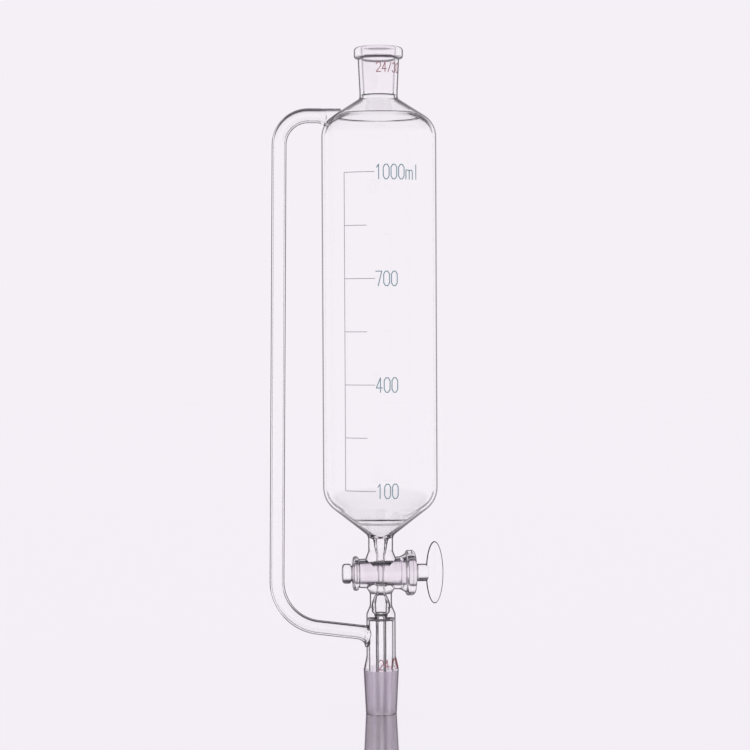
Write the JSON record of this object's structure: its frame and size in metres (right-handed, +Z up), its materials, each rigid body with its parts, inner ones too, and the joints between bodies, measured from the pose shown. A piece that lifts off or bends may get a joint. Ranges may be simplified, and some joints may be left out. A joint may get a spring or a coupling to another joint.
{
  "type": "pressure-equalising dropping funnel",
  "caption": "Tall cylindrical glass dropping funnel with a glass stopcock, a pressure-equalising side arm and ground taper joints above and below.",
  "frame": {"origin": "centre of the bottom cone's large end, on the funnel's axis", "axes": "+Z up the funnel's axis, +X along the stopcock towards its handle, -X towards the side arm, -Y the side with the printed scale"},
  "size_m": [0.1186, 0.0781, 0.4521],
  "materials": {
    "clear_glass": "clear borosilicate glass, fire-polished",
    "ground_glass": "ground, matt",
    "scale_enamel": "fired blue-grey enamel, satin",
    "size_enamel": "fired dark red enamel, satin"
  },
  "bodies": {
    "glass_body": {"reservoir": "clear_glass", "shoulder": "clear_glass", "top_socket": "clear_glass", "side_arm": "clear_glass", "upper_stem": "clear_glass", "stopcock_barrel": "clear_glass", "lower_stem": "clear_glass", "drip_tube": "clear_glass", "jacket_tube": "clear_glass", "bottom_cone": "ground_glass", "scale_spine": "scale_enamel", "scale_marks_major": "scale_enamel", "scale_marks_minor": "scale_enamel", "number_100": "scale_enamel", "number_400": "scale_enamel", "number_700": "scale_enamel", "number_1000": "scale_enamel", "unit_ml": "scale_enamel", "socket_size_mark": "size_enamel", "cone_size_mark": "size_enamel"},
    "plug": {"plug_key": "ground_glass", "plug_shank": "clear_glass", "plug_handle": "clear_glass", "plug_button": "clear_glass"}
  },
  "joints": [
    {"name": "plug_turn", "type": "hinge", "parent": "glass_body", "child": "plug", "pos_m": [0, 0, 0.0655], "axis": [1, 0, 0], "continuous": true}
  ]
}
